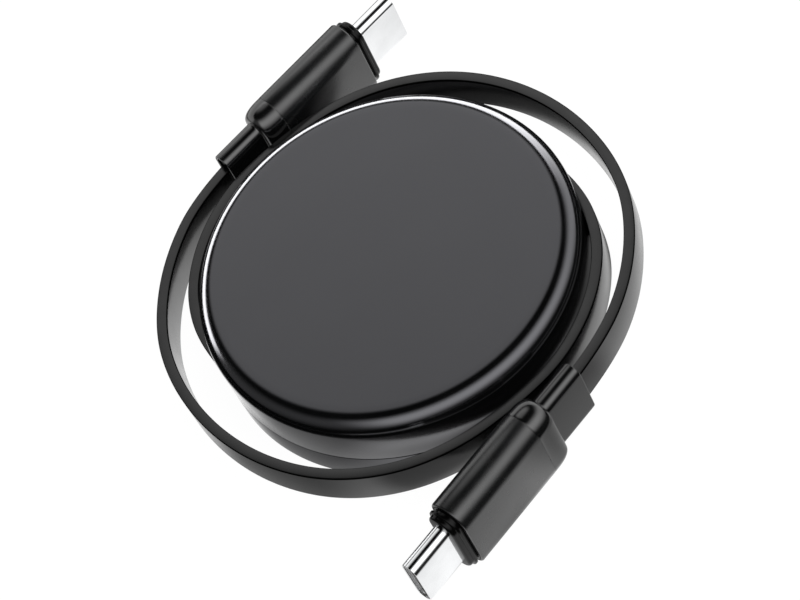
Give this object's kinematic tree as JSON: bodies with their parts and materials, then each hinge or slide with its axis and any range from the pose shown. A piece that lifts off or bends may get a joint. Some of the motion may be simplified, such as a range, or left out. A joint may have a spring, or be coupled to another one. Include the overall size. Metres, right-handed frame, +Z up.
{
  "type": "usb-c cable",
  "caption": "Retractable USB-C cable: round spring reel in a flat black housing, flat ribbon leaving on opposite sides, each end wrapped round the housing and carrying a USB-C plug.",
  "frame": {"origin": "centre of the reel housing's underside, on the spool's axis", "axes": "+Z up along the spool's axis; one ribbon leaves the housing on the +X side and the other on the -X side"},
  "size_m": [0.0622, 0.0809, 0.0124],
  "materials": {
    "housing": "fine-grained satin black moulded plastic",
    "inner_plastic": "natural white acetal, as moulded",
    "spring_steel": "bright rolled spring steel",
    "ribbon": "smooth black elastomer jacket",
    "plug_metal": "bright nickel plating",
    "contact_block": "black glass-filled plastic",
    "contact_gold": "gold plating",
    "circuit_card": "green solder mask",
    "plug_core": "glossy black plastic",
    "plug_sleeve": "satin black moulded plastic",
    "plug_boot": "satin black elastomer"
  },
  "bodies": {
    "housing": {"top_cover": "housing", "bottom_cover": "housing", "ribbon_a": "ribbon", "ribbon_b": "ribbon", "plug_a_shell": "plug_metal", "plug_a_contact_block": "contact_block", "plug_a_upper_contacts": "contact_gold", "plug_a_lower_contacts": "contact_gold", "plug_a_latch": "spring_steel", "plug_a_card": "circuit_card", "plug_a_core": "plug_core", "plug_a_sleeve": "plug_sleeve", "plug_a_boot": "plug_boot", "plug_b_shell": "plug_metal", "plug_b_contact_block": "contact_block", "plug_b_upper_contacts": "contact_gold", "plug_b_lower_contacts": "contact_gold", "plug_b_latch": "spring_steel", "plug_b_card": "circuit_card", "plug_b_core": "plug_core", "plug_b_sleeve": "plug_sleeve", "plug_b_boot": "plug_boot"},
    "spool": {"spool": "inner_plastic", "spring_cover": "inner_plastic", "wound_ribbon": "ribbon", "mainspring": "spring_steel"},
    "pawl": {"lock_pawl": "inner_plastic"}
  },
  "joints": [
    {"name": "spool_spin", "type": "hinge", "parent": "housing", "child": "spool", "pos_m": [0, 0, 0.0062], "axis": [0, 0, -1], "range_deg": [0, 1350], "stiffness_Nm_per_rad": 0.0002, "springref_deg": -458.37, "deforming": ["mainspring"]},
    {"name": "pawl_swing", "type": "hinge", "parent": "housing", "child": "pawl", "pos_m": [0.00221, 0.01251, 0.01055], "axis": [0, 0, -1], "range_deg": [0, 10.6]}
  ]
}
